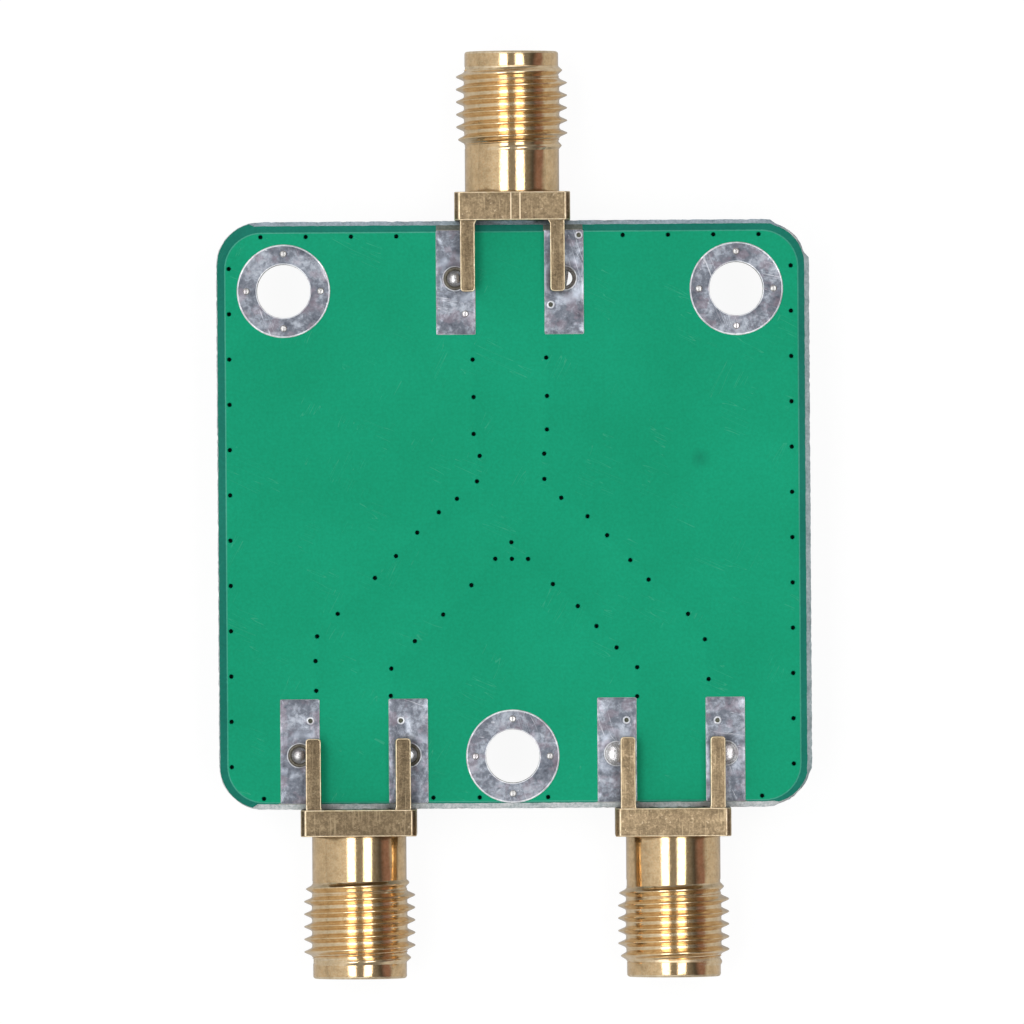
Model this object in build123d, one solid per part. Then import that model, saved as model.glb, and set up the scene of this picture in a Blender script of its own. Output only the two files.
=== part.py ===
from build123d import *
import os
from math import cos, radians, sin

# A power splitter: a square two-layer circuit board with three coaxial jacks on its edges.
# The board lies level with its solder side up. Its lines and chip resistors are on the underside.
# The origin is below the middle of the board, on the plane that the jack flanges rest on.
# The input jack points along +Y and the two output jacks point along -Y.
# Sizes are in millimetres and angles in degrees.

# Circuit board
board_x = 33.3
board_y = 33.0
core_t = 1.5
board_corner_r = 2.5
foil_t = 0.05              # height of the tinned lands and the lines over the masked board

# Printed copper, which sits a little off the middle of the cut outline
art_x = -0.16
art_y = -0.10
copper_inset = 0.45        # from the board's edge to the edge of the ground copper

# Mounting holes, each with a tinned ring on both faces
mount_d = 3.0
mount_ring_d = 5.25
mount_ring_sides = 20      # the rings' rims and other small repeated rounds have flat sides, to stay light
mount_inset_x = 3.95       # from the board's edges to the two holes beside the input
mount_inset_y = 3.8
mount_single_inset = 3.04  # from the board's edge to the hole between the outputs

# Coaxial jack with a 1/4-36 thread, measured from the face that meets the board's edge
output_pitch = 17.78       # between the output lines
jack_nearing = 0.07        # how far each output jack was soldered on nearer the middle than its line
flange_w = 6.5
flange_t = 1.6
flange_chamfer = 0.25
barrel_d = 5.3
barrel_l = 2.5
thread_d = 6.25
thread_l = 4.65
nose_d = 5.2
nose_l = 0.76
nose_chamfer = 0.15
mouth_d = 4.6
mouth_depth = 1.9
insulator_d = 4.1
leg_w = 0.8
leg_l = 4.0
leg_drop = 0.15            # from the flange's face down to the face of the legs behind the board
leg_spacing = 5.04
leg_flare = 0.2
leg_tip_chamfer = 0.12

# Centre contact of the jack: a slotted socket in front and a solder tail behind
contact_d = 1.27
contact_recess = 0.1       # from the mouth's floor back to the contact's tip
socket_d = 0.94
socket_depth = 2.9
slot_w = 0.2
slot_depth = 2.2
tail_d = 0.9
tail_l = 3.4

# Ground pads, two to each jack, joined through the board by a plated anchor hole
pad_w = 2.2
pad_l = 5.85
pad_outset = 0.52          # from the middle of a leg out to the middle of its pad
anchor_d = 1.3
anchor_outset = 0.55       # from the middle of a leg out to the middle of the hole
anchor_in = 2.7            # from the copper's edge to the anchor hole's centre
anchor_sides = 12

# Signal lines on the underside: one from the input to the star, then two arms to the outputs
line_w = 2.2
line_gap = 0.4             # bare groove on each side of a line
groove_depth = 0.05
star_y = 1.365             # the star's height above the artwork's middle
arm_angle = 45.0           # between each arm and the line that carries on from the input

# Chip resistors, one in each branch of the star
chip_l = 2.0
chip_w = 1.25
chip_t = 0.5
chip_cap_l = 0.4
chip_cap_t = 0.04
chip_from_star = 2.2       # from the star's middle to the chip's middle
chip_tuck = 0.1            # how far a line runs on under the chip, past its end cap

# Solder
bead_h = 0.75
bead_taper = 30.0
bead_corner = 0.5
bead_reach = 0.3           # how far a bead goes on past the tip of its leg or tail
bead_clear = 0.9           # from the other end of a bead to the flange
leg_bead_margin = 0.1      # from a bead to the edge of its pad
tail_bead_margin = 0.25    # from a bead to the edge of its line
plug_drop = 0.45           # from the pad's face down to the edge of the solder in an anchor hole
plug_crown = 0.3           # rise of that solder at its middle
plug_taper = 42.0
vent_d = 0.9               # opening left in the one anchor hole that the solder didn't close
vent_shift = 0.1
chip_fillet = 0.35

# Values that follow from the ones above
axis_z = flange_w / 2
line_face_z = axis_z + tail_d / 2          # underside of the lines, where the contact tails lie
core_low_z = line_face_z + foil_t
core_high_z = core_low_z + core_t
pad_face_z = core_high_z + foil_t
board_t = pad_face_z - line_face_z
copper_half = board_y / 2 - copper_inset
back_leg_z = tail_d / 2 + board_t          # of a jack's legs behind the board, above its axis
leg_h = flange_w / 2 - back_leg_z - leg_drop
thread_lead = (thread_d - nose_d) / 2
thread_start = flange_t + barrel_l
thread_end = thread_start + thread_l
jack_l = thread_end + nose_l
mouth_floor = jack_l - mouth_depth
contact_tip = mouth_floor - contact_recess
chip_land_gap = chip_l - 2 * (chip_cap_l + chip_tuck)
star_reach = chip_from_star - chip_land_gap / 2
line_start = chip_from_star + chip_land_gap / 2
arm_sin = sin(radians(arm_angle))
arm_cos = cos(radians(arm_angle))
arm_l = output_pitch / 2 / arm_sin         # from the star to the corner where an arm turns straight

# Each port: the place of its line along the board's edge and the way its jack points along Y
PORTS = {
    "input": (0.0, 1),
    "output_left": (-output_pitch / 2, -1),
    "output_right": (output_pitch / 2, -1),
}
JACKS_X = {
    "input": 0.0,
    "output_left": jack_nearing - output_pitch / 2,
    "output_right": output_pitch / 2 - jack_nearing,
}
MOUNTS = {
    "input_left": (mount_inset_x - board_x / 2, board_y / 2 - mount_inset_y),
    "input_right": (board_x / 2 - mount_inset_x, board_y / 2 - mount_inset_y),
    "output": (0.0, mount_single_inset - board_y / 2),
}
SIDES = {"left": -1, "right": 1}


def art(x, y):
    """Move a point from the artwork's own middle to the board's frame."""
    return (x + art_x, y + art_y)


def port_place(name):
    """Frame of a jack: origin on its axis at the board's edge, +Y out of its mouth."""
    way = PORTS[name][1]
    turn = 0 if way > 0 else 180
    return Pos(JACKS_X[name], way * board_y / 2, axis_z) * Rot(0, 0, turn)


def pad_points(name):
    """Middle of each ground pad of a jack, by the side of the board it is on."""
    x, way = PORTS[name]
    y = way * (copper_half - pad_l / 2)
    out = leg_spacing / 2 + pad_outset
    return {side: art(x + sign * out, y) for side, sign in SIDES.items()}


def anchor_points(name):
    x, way = PORTS[name]
    y = way * (copper_half - anchor_in)
    out = leg_spacing / 2 + anchor_outset
    return {side: art(x + sign * out, y) for side, sign in SIDES.items()}


# Signal lines, drawn in plan from the star outwards
def arm_point(sign, along, across):
    """Point beside an arm: along it from the star, and across it to the side nearer the input."""
    x = along * arm_sin + across * arm_cos
    y = star_y - along * arm_cos + across * arm_sin
    return art(sign * x, y)


def branch_points(name, start, end_inset):
    """Middle of a line, from a distance out of the star to a distance inside the copper's edge."""
    x, way = PORTS[name]
    end = art(x, way * (copper_half - end_inset))
    if way > 0:
        return [art(0, star_y + start), end]
    sign = 1 if x > 0 else -1
    return [arm_point(sign, start, 0), arm_point(sign, arm_l, 0), end]


def strip(points, width):
    """Flat strip of constant width along a route, with round corners and square ends."""
    plan = trace(Polyline(*points), width)
    for x, y in points[1:-1]:
        plan += Pos(x, y) * Circle(width / 2)
    return plan


def star_plan(width, reach):
    """Three short strips that meet at the star."""
    middle = art(0, star_y)
    ends = (art(0, star_y + reach), arm_point(-1, reach, 0), arm_point(1, reach, 0))
    plan = Pos(*middle) * Circle(width / 2)
    for end in ends:
        plan += strip([middle, end], width)
    return plan


def chip_place(name):
    """Frame of a chip: its middle on the lines' face, with X along the branch away from the star."""
    x, way = PORTS[name]
    if way > 0:
        return Pos(*art(0, star_y + chip_from_star), line_face_z) * Rot(0, 0, 90)
    sign = 1 if x > 0 else -1
    turn = -90 + sign * arm_angle
    return Pos(*arm_point(sign, chip_from_star, 0), line_face_z) * Rot(0, 0, turn)


# Circuit board and its metal
def anchor_circle(growth):
    """Outline of an anchor hole, or of the wall around it."""
    return RegularPolygon(anchor_d / 2 + growth, anchor_sides)


def pad_plan(name, side):
    return Pos(*pad_points(name)[side]) * Rectangle(pad_w, pad_l)


def groove_plan():
    """Lines with the bare groove beside them, out to the board's edge."""
    width = line_w + 2 * line_gap
    plan = star_plan(width, line_start)
    for name in PORTS:
        plan += strip(branch_points(name, 0, copper_half - board_y / 2 - line_gap), width)
    return plan


def lines_plan():
    plan = star_plan(line_w, line_start)
    for name in PORTS:
        plan += strip(branch_points(name, 0, 0), line_w)
    return plan


def circuit_board():
    outline = RectangleRounded(board_x, board_y, board_corner_r)
    board = extrude(Pos(0, 0, core_low_z) * outline, core_t)
    drills = Sketch()
    for x, y in MOUNTS.values():
        drills += Pos(*art(x, y)) * Circle(mount_d / 2)
    for name in PORTS:
        for x, y in anchor_points(name).values():
            drills += Pos(x, y) * anchor_circle(foil_t)
    board -= extrude(Pos(0, 0, core_low_z) * drills, core_t)
    groove = extrude(Pos(0, 0, core_low_z) * (groove_plan() - lines_plan()), groove_depth)
    return board - groove


def mounting_rings(name):
    """Tinned ring round a mounting hole on each face."""
    land = RegularPolygon(mount_ring_d / 2, mount_ring_sides) - Circle(mount_d / 2)
    rings = extrude(Pos(0, 0, core_high_z) * land, foil_t)
    rings += extrude(Pos(0, 0, line_face_z) * land, foil_t)
    return Pos(*art(*MOUNTS[name])) * rings


def ground_pad(name, side):
    """Tinned pad on each face, joined by the plated wall of the anchor hole."""
    place = Pos(*anchor_points(name)[side])
    plan = pad_plan(name, side) - place * anchor_circle(0)
    pad = extrude(Pos(0, 0, core_high_z) * plan, foil_t)
    pad += extrude(Pos(0, 0, line_face_z) * plan, foil_t)
    wall = anchor_circle(foil_t) - anchor_circle(0)
    return pad + place * extrude(Pos(0, 0, core_low_z) * wall, core_t)


def signal_line(name):
    plan = strip(branch_points(name, line_start, 0), line_w)
    return extrude(Pos(0, 0, line_face_z) * plan, foil_t)


def star_junction():
    return extrude(Pos(0, 0, line_face_z) * star_plan(line_w, star_reach), foil_t)


# Coaxial jack, drawn in its own frame and then placed
def turned(points):
    """Solid of revolution about the jack's axis, from points of radius and distance."""
    return revolve(make_face(Polyline(*points, close=True)), Axis.Y)


def leg_plan():
    """Flange and two legs seen from above, with a flare where each leg leaves the flange."""
    plan = Pos(0, flange_t / 2) * Rectangle(flange_w - 2 * flange_chamfer, flange_t)
    for sign in SIDES.values():
        plan += Pos(sign * leg_spacing / 2, -leg_l / 2) * Rectangle(leg_w, leg_l)
    inner = leg_spacing / 2 - leg_w / 2
    roots = [v for v in plan.vertices() if abs(v.Y) < 1e-6 and abs(abs(v.X) - inner) < 1e-6]
    plan = chamfer(roots, leg_flare)
    tips = [v for v in plan.vertices() if abs(v.Y + leg_l) < 1e-6]
    return chamfer(tips, leg_tip_chamfer)


def jack_body(name):
    """Flange, barrel, thread and four legs, turned and milled from one brass bar."""
    flange = Pos(0, flange_t / 2, 0) * Box(flange_w, flange_t, flange_w)
    flange = chamfer(flange.edges().filter_by(Axis.Y), flange_chamfer)
    plan = leg_plan()
    legs = extrude(Pos(0, 0, back_leg_z) * plan, leg_h)
    legs += extrude(Pos(0, 0, tail_d / 2 - leg_h) * plan, leg_h)
    barrel = turned([
        (0, flange_t / 2),
        (barrel_d / 2, flange_t / 2),
        (barrel_d / 2, thread_start),
        (thread_d / 2, thread_start),
        (thread_d / 2, thread_end - thread_lead),
        (nose_d / 2, thread_end),
        (nose_d / 2, jack_l - nose_chamfer),
        (nose_d / 2 - nose_chamfer, jack_l),
        (0, jack_l),
    ])
    hollow = turned([
        (0, 0),
        (insulator_d / 2, 0),
        (insulator_d / 2, mouth_floor),
        (mouth_d / 2, mouth_floor),
        (mouth_d / 2, jack_l),
        (0, jack_l),
    ])
    return port_place(name) * (flange + legs + barrel - hollow)


def jack_insulator(name):
    """White core of the jack, a sleeve between its barrel and its contact."""
    core = turned([
        (contact_d / 2, 0),
        (insulator_d / 2, 0),
        (insulator_d / 2, mouth_floor),
        (contact_d / 2, mouth_floor),
    ])
    return port_place(name) * core


def jack_contact(name):
    """Centre contact: a slotted socket, a shoulder and a round tail that lies on its line."""
    contact = turned([
        (0, -tail_l),
        (tail_d / 2, -tail_l),
        (tail_d / 2, 0),
        (contact_d / 2, 0),
        (contact_d / 2, contact_tip),
        (socket_d / 2, contact_tip),
        (socket_d / 2, contact_tip - socket_depth),
        (0, contact_tip - socket_depth),
    ])
    slot = Pos(0, contact_tip - slot_depth / 2, 0) * Box(contact_d, slot_depth, slot_w)
    return port_place(name) * (contact - slot)


# Chip resistors
def chip_core_box():
    return Box(chip_l - 2 * chip_cap_t, chip_w, chip_t - 2 * chip_cap_t)


def resistor(name):
    """Ceramic chip, held clear of the board by its end caps."""
    return chip_place(name) * Pos(0, 0, -chip_t / 2) * chip_core_box()


def resistor_caps(name):
    """Metal caps that wrap the two ends of a chip."""
    caps = Part()
    for end in (-1, 1):
        cap = Pos(end * (chip_l - chip_cap_l) / 2, 0, 0) * Box(chip_cap_l, chip_w, chip_t)
        caps += cap - chip_core_box()
    return chip_place(name) * Pos(0, 0, -chip_t / 2) * caps


def resistor_solder(name):
    """Fillet of solder from each end cap to the line below it."""
    low = Plane.XZ.offset(-chip_w / 2)
    fillets = Part()
    for end in (-1, 1):
        corner = end * chip_l / 2
        profile = Polyline((corner, 0), (corner + end * chip_fillet, 0), (corner, -chip_fillet), close=True)
        fillets += extrude(low * make_face(profile), chip_w)
    return chip_place(name) * fillets


# Solder joints of the jack
def bead(width, lead_l, tip_y):
    """Mound of solder below the lines' face, from past a lead's tip to near the flange."""
    length = lead_l + bead_reach - bead_clear
    plan = chamfer(Rectangle(width, length).vertices(), bead_corner)
    return Pos(0, tip_y - bead_reach + length / 2) * extrude(plan, -bead_h, taper=bead_taper)


def anchor_plug():
    """Solder that has run up an anchor hole and stands in it with a low crown."""
    shoulder = pad_face_z - plug_drop
    post = extrude(Pos(0, 0, line_face_z) * anchor_circle(0), shoulder - line_face_z)
    crown = extrude(Pos(0, 0, shoulder) * anchor_circle(0), plug_crown, taper=plug_taper)
    return post + crown


def anchor_solder(name, side):
    """Solder round a front leg that has run up into the anchor hole beside it."""
    x, y = anchor_points(name)[side]
    pad_x = pad_points(name)[side][0]
    way = PORTS[name][1]
    turn = 0 if way > 0 else 180
    mound = bead(pad_w - 2 * leg_bead_margin, leg_l, board_y / 2 - leg_l)
    joint = Pos(pad_x, 0, line_face_z) * Rot(0, 0, turn) * mound
    joint += Pos(x, y) * anchor_plug()
    if (name, side) == ("input", "right"):
        vent = RegularPolygon(vent_d / 2, anchor_sides)
        low = line_face_z - bead_h
        joint -= extrude(Pos(x - vent_shift, y, low) * vent, board_t + bead_h)
    return joint - jack_body(name)


def tail_solder(name):
    """Solder that holds a contact's tail to the end of its line."""
    seat = RegularPolygon(tail_d / 2, anchor_sides, major_radius=False)
    seat = extrude(Plane.XZ * seat, tail_l, both=True)
    mound = bead(line_w - 2 * tail_bead_margin, tail_l, -tail_l)
    return port_place(name) * (Pos(0, 0, tail_d / 2) * mound - seat)


def build():
    parts = {"circuit_board": circuit_board(), "star_junction": star_junction()}
    for name in MOUNTS:
        parts["mounting_ring_" + name] = mounting_rings(name)
    for name in PORTS:
        parts["jack_body_" + name] = jack_body(name)
        parts["jack_insulator_" + name] = jack_insulator(name)
        parts["jack_contact_" + name] = jack_contact(name)
        parts["signal_line_" + name] = signal_line(name)
        parts["resistor_" + name] = resistor(name)
        parts["resistor_caps_" + name] = resistor_caps(name)
        parts["resistor_solder_" + name] = resistor_solder(name)
        parts["tail_solder_" + name] = tail_solder(name)
        for side in SIDES:
            parts["ground_pad_" + name + "_" + side] = ground_pad(name, side)
            parts["anchor_solder_" + name + "_" + side] = anchor_solder(name, side)
    return parts


os.makedirs("parts", exist_ok=True)
for node, shape in build().items():
    export_step(shape, "parts/" + node + ".step")
    print(node, len(shape.solids()), round(shape.volume, 4))
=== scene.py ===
# %% [markdown]
# # A power splitter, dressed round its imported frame
# The frame is the CAD model of a small circuit board with three coaxial jacks. It fixes every place and
# size. This script keeps those places and gives each part the shape and finish that a plain solid leaves
# out: a real screw thread, plated holes, round solder, a snapped board edge, and worn tin and gold.
# Everything is made in metres, in the frame's own axes. Z is up, and the input jack points along +Y.

# %% Load the frame
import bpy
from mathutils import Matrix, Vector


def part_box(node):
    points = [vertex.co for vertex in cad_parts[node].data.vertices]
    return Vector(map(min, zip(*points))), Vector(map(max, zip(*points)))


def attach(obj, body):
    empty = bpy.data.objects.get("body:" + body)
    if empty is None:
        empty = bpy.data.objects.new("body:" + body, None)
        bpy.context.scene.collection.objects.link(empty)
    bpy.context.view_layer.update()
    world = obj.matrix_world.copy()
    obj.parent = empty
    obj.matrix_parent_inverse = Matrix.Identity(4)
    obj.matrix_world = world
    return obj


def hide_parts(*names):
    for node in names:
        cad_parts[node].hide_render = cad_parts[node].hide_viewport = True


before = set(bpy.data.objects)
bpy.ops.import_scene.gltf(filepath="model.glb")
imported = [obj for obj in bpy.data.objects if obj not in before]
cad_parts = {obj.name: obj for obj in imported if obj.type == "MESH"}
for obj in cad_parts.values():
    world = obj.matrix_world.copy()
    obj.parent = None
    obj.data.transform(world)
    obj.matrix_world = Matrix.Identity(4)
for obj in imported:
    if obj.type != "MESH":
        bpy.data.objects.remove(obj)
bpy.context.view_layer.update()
print("CAD nodes:", len(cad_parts))

# %% [markdown]
# ## Working in millimetres
# Small electronic parts are easiest to think of in millimetres, while Blender's scene is in metres. So each
# mesh is made in millimetres and is scaled once, when it becomes an object. The places of the real parts
# come from the frame's boxes, and the few sizes that a box can't give are repeated here by name.

# %% Sizes that the pieces share
import random
from math import atan2, copysign, cos, degrees, hypot, pi, radians, sin

import bmesh
import bpy
from mathutils import Matrix, Vector

MM = 0.001


def box_mm(node):
    """Lowest and highest corner of a CAD node, in millimetres."""
    low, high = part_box(node)
    return low / MM, high / MM


def middle_mm(node):
    low, high = box_mm(node)
    return (low + high) / 2


def flat(point):
    """The same point, at height 0."""
    return point.to_2d().to_3d()


BOARD_LOW, BOARD_HIGH = box_mm("circuit_board")
PAD_TOP = box_mm("ground_pad_input_left")[1].z
LINE_FACE = box_mm("ground_pad_input_left")[0].z
FACE = BOARD_HIGH.z
UNDERSIDE = BOARD_LOW.z
ART = Vector((-0.16, -0.10, 0))     # the printed copper sits a little off the middle of the board
SIDES = {"left": -1, "right": 1}
PORTS = {}                          # each jack's place at the board's edge, and the way it points along Y
for port, way in (("input", 1), ("output_left", -1), ("output_right", -1)):
    spot = middle_mm("jack_insulator_" + port)
    spot.y = BOARD_HIGH.y if way > 0 else BOARD_LOW.y
    PORTS[port] = (spot, way)
PADS = {(port, side): flat(middle_mm("ground_pad_" + port + "_" + side)) for port in PORTS for side in SIDES}
RINGS = {name: flat(middle_mm("mounting_ring_" + name)) for name in ("input_left", "input_right", "output")}
print("board faces at", round(UNDERSIDE, 3), "and", round(FACE, 3), "mm; jacks at",
      [(round(spot.x, 2), round(spot.y, 2)) for spot, _ in PORTS.values()])

# %% [markdown]
# ## From a bmesh to a finished piece
# Every piece ends in the same way. Its faces are turned outwards and made smooth except over sharp edges, it
# is scaled to metres, it is hung on the root body, and the CAD node that it stands in for is hidden. The
# count of open edges is printed, because a closed mesh has none.

# %% A helper that finishes a piece
def settle(bm, name, finishes, cad_node, sharp=35, place=None):
    """Makes the object from a bmesh in millimetres and hands it to the frame."""
    bmesh.ops.recalc_face_normals(bm, faces=bm.faces[:])
    for face in bm.faces:
        face.smooth = True
    for edge in bm.edges:
        edge.smooth = len(edge.link_faces) == 2 and edge.calc_face_angle(pi) < radians(sharp)
    if place is not None:
        bmesh.ops.transform(bm, matrix=place, space=Matrix.Identity(4), verts=bm.verts)
    bmesh.ops.scale(bm, vec=(MM, MM, MM), verts=bm.verts)
    open_edges = sum(len(edge.link_faces) != 2 for edge in bm.edges)
    triangles = sum(len(face.verts) - 2 for face in bm.faces)
    mesh = bpy.data.meshes.new(name)
    bm.to_mesh(mesh)
    bm.free()
    piece = bpy.data.objects.new(name, mesh)
    bpy.context.scene.collection.objects.link(piece)
    for finish in finishes:
        mesh.materials.append(finish)
    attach(piece, "root")
    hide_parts(cad_node)
    print(f"{name}: {triangles} triangles, {open_edges} open edges")


# %% Small helpers for meshes
def new_verts(made):
    return [item for item in made["geom"] if isinstance(item, bmesh.types.BMVert)]


def added(items, before):
    """What a mesh has gained since a set of its items was taken."""
    return [item for item in items if item not in before]


def faces_at(items):
    """The faces that touch any of the given vertices or edges."""
    return {face for item in items for face in item.link_faces}


def paint(faces, index):
    """Gives faces one of the piece's finishes, by its place in the piece's list."""
    for face in faces:
        face.material_index = index


def fill(bm, edges, normal=(0, 0, 1)):
    """Fills a flat outline, and leaves the holes in it open."""
    return bmesh.ops.triangle_fill(bm, use_beauty=True, use_dissolve=False, edges=edges, normal=normal)


def ease(bm, edges, width):
    """Bevels edges a little, and gives the narrow new faces the piece's second finish: bright worn gold on a
    jack, and on a pad paler tin as a painted highlight.
    """
    made = bmesh.ops.bevel(bm, geom=edges, affect="EDGES", offset=width, segments=2, profile=0.5, material=-1,
                           clamp_overlap=True)
    paint(made["faces"], 1)


def at(spot, z):
    """Matrix that places a shape over a spot of the board, at a height."""
    return Matrix.Translation((spot.x, spot.y, z))


def port_frame(port):
    """Frame of a jack: origin on its axis at the board's edge, +Y out of its mouth, in millimetres."""
    spot, way = PORTS[port]
    return Matrix.Translation(spot) @ Matrix.Rotation(0 if way > 0 else pi, 4, "Z")


print("mesh helpers ready")

# %% [markdown]
# ## Finishes from nodes
# Each finish is a small node tree. Its patterns read Object coordinates, scaled to millimetres, so that a
# grain of 0.2 mm is written as a scale of 5. Every object's origin is the frame's origin, so a pattern runs
# on from one piece to its neighbour, and no two jacks show the same patch of it. Colours are written as they
# look on a screen and turned into the linear values that the shader works in.

# %% Nodes and colours
def tint(red, green, blue):
    """Linear colour from the 0 to 255 values seen on a screen."""
    parts = []
    for value in (red, green, blue):
        level = value / 255
        parts.append(level / 12.92 if level <= 0.04045 else ((level + 0.055) / 1.055) ** 2.4)
    return (*parts, 1.0)


def grey(level):
    return (level, level, level, 1.0)


def node(finish, kind, inputs=None, **settings):
    """Adds a node. An input is linked when it is given a socket, and set when it is given a value."""
    made = finish.node_tree.nodes.new(kind)
    for key, value in settings.items():
        setattr(made, key, value)
    for key, value in (inputs or {}).items():
        if isinstance(value, bpy.types.NodeSocket):
            finish.node_tree.links.new(value, made.inputs[key])
        else:
            made.inputs[key].default_value = value
    return made


def start_finish(name, **shader):
    """A new material: its shader, with fixed values set on it, and its coordinates in millimetres."""
    finish = bpy.data.materials.new(name)
    finish.use_nodes = True
    principled = finish.node_tree.nodes["Principled BSDF"]
    for key, value in shader.items():
        principled.inputs[key.replace("_", " ")].default_value = value
    where = node(finish, "ShaderNodeTexCoord").outputs["Object"]
    return finish, principled, stretched(finish, where, 1 / MM, 1 / MM, 1 / MM)


def feed(finish, principled, socket, source):
    finish.node_tree.links.new(source, principled.inputs[socket])


def relief(finish, principled, height, depth, strength=1.0):
    """Small bumps, with their real depth in millimetres."""
    made = node(finish, "ShaderNodeBump", {"Height": height, "Distance": depth * MM, "Strength": strength})
    feed(finish, principled, "Normal", made.outputs["Normal"])


# %% Coordinates and noise
def stretched(finish, where, x, y, z):
    """The same coordinates, stretched along each axis."""
    return node(finish, "ShaderNodeMapping", {"Vector": where, "Scale": (x, y, z)}).outputs["Vector"]


def axes(finish, where):
    """The three coordinates of a point, by name."""
    return node(finish, "ShaderNodeSeparateXYZ", {0: where}).outputs


def distance(finish, where, spot):
    """How far each point is from one spot, in millimetres."""
    return node(finish, "ShaderNodeVectorMath", {0: where, 1: spot}, operation="DISTANCE").outputs["Value"]


def cloud(finish, where, scale, detail=4.0, roughness=0.55, distortion=0.0):
    """Soft noise round a level of 0.5."""
    made = node(finish, "ShaderNodeTexNoise", {"Vector": where, "Scale": scale, "Detail": detail,
                                               "Roughness": roughness, "Distortion": distortion})
    return made.outputs["Fac"]


# %% Arithmetic on patterns
def sums(finish, operation, first, second=0.0, third=0.0):
    """One step of arithmetic, on sockets or values."""
    return node(finish, "ShaderNodeMath", {0: first, 1: second, 2: third}, operation=operation).outputs[0]


def times(finish, first, second):
    return sums(finish, "MULTIPLY", first, second)


def highest(finish, top, *others):
    """The greatest of several patterns, at each point."""
    for value in others:
        top = sums(finish, "MAXIMUM", top, value)
    return top


def blend(finish, first, share, second):
    """A share of one pattern and the rest of another."""
    return sums(finish, "ADD", times(finish, first, share), times(finish, second, 1 - share))


def peak(finish, value, middle, steepness):
    """1 where a value is at its middle, and less on both sides."""
    off = sums(finish, "ABSOLUTE", sums(finish, "SUBTRACT", value, middle))
    return sums(finish, "SUBTRACT", 1.0, times(finish, off, steepness))


# %% Ramps and mixed colours
def ramp(finish, factor, stops):
    """Turns a number into a colour, through stops of place and colour."""
    made = node(finish, "ShaderNodeValToRGB", {"Fac": factor})
    points = made.color_ramp.elements
    while len(points) < len(stops):
        points.new(0.5)
    for point, (place, colour) in zip(points, stops):
        point.position = place
        point.color = colour
    return made.outputs["Color"]


def greys(finish, factor, start, end, first=0.0, last=1.0):
    """A grey that goes from its first to its last level while the factor goes from start to end."""
    return ramp(finish, factor, [(start, grey(first)), (end, grey(last))])


def mix(finish, factor, first, second, how="MIX"):
    """Mixes two colours. A factor, or either colour, may be a socket or a value."""
    made = node(finish, "ShaderNodeMix", data_type="RGBA", blend_type=how)
    for index, value in ((0, factor), (6, first), (7, second)):
        if isinstance(value, bpy.types.NodeSocket):
            finish.node_tree.links.new(value, made.inputs[index])
        else:
            made.inputs[index].default_value = value
    return made.outputs[2]


print("node helpers ready")

# %% [markdown]
# ## Solder mask
# Solder mask is a green lacquer. Over copper it looks bright green, because the metal behind it reflects.
# Over bare laminate it looks darker and bluer. A faint weave of the glass cloth shows through it, and
# handling leaves pale hairline scratches. A paler green on the copper's step is a painted highlight, and a
# dark green in the stitching holes is painted shade. All four greens come from one function, so that they age
# in the same way.

# %% Scratches
def hairlines(finish, where, turn, seed, keep):
    """Thin scratches: long noise cells, bent a little, kept only where a second noise is high."""
    tilted = node(finish, "ShaderNodeMapping", {"Vector": where, "Rotation": (0, 0, radians(turn)),
                                                "Location": (seed, -seed, 0)}).outputs["Vector"]
    strokes = cloud(finish, stretched(finish, tilted, 0.16, 3.2, 1), 1.0, 1.0, 0.4, 0.5)
    line = peak(finish, strokes, 0.5, 110.0)
    patches = cloud(finish, stretched(finish, tilted, 0.35, 0.35, 1), 1.0, 2.0)
    return times(finish, highest(finish, line, 0.0), sums(finish, "GREATER_THAN", patches, keep))


def scratches(finish, where, *bundles):
    """Hairlines in several directions, each bundle with its turn, its seed and its threshold."""
    return highest(finish, *(hairlines(finish, where, *bundle) for bundle in bundles))


print("scratches ready")

# %% Green masks
SMUDGE = (10.44, 3.10, 5.25)    # a small darker spot on the right half of the board
CLOTH = {"Scale": 0.85, "Distortion": 1.2, "Detail": 1.0}


def mask_finish(name, low, high, scratch):
    """Lacquer that drifts between two greens, and how strongly scratches show on it."""
    finish, principled, where = start_finish(name, Roughness=0.55, Specular_IOR_Level=0.08)
    colour = ramp(finish, cloud(finish, where, 0.16, 3.0), [(0.3, low), (0.7, high)])
    grain = cloud(finish, where, 7.0, 2.0, 0.6)
    colour = mix(finish, 0.10, colour, greys(finish, grain, 0.3, 0.7), "SOFT_LIGHT")
    warp, weft = (node(finish, "ShaderNodeTexWave", {"Vector": where, **CLOTH}, bands_direction=axis)
                  for axis in "XY")
    weave = times(finish, warp.outputs["Fac"], weft.outputs["Fac"])
    colour = mix(finish, times(finish, weave, 0.05), colour, tint(16, 132, 100))
    marks = scratches(finish, where, (24, 3.1, 0.6), (-63, 8.7, 0.62))
    colour = mix(finish, times(finish, marks, scratch), colour, tint(120, 205, 175))
    stain = greys(finish, times(finish, distance(finish, where, SMUDGE), 1.5), 0.1, 1.0, 0.45, 0.0)
    colour = mix(finish, stain, colour, tint(8, 112, 84))
    feed(finish, principled, "Base Color", colour)
    relief(finish, principled, sums(finish, "ADD", weave, grain), 0.004, 0.5)
    return finish


mask_on_copper = mask_finish("mask_on_copper", tint(10, 150, 110), tint(14, 157, 117), 0.15)
mask_on_laminate = mask_finish("mask_on_laminate", tint(14, 108, 92), tint(26, 122, 104), 0.05)
# painted highlight: a paler green for the step where the mask runs over the copper's edge
mask_step_painted_highlight = mask_finish("mask_step_painted_highlight", tint(56, 153, 128), tint(76, 167, 142), 0.0)
# painted shade: a dark green inside the stitching holes
mask_well_painted_shade = mask_finish("mask_well_painted_shade", tint(8, 62, 50), tint(16, 80, 66), 0.0)
print("masks ready")

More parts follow.
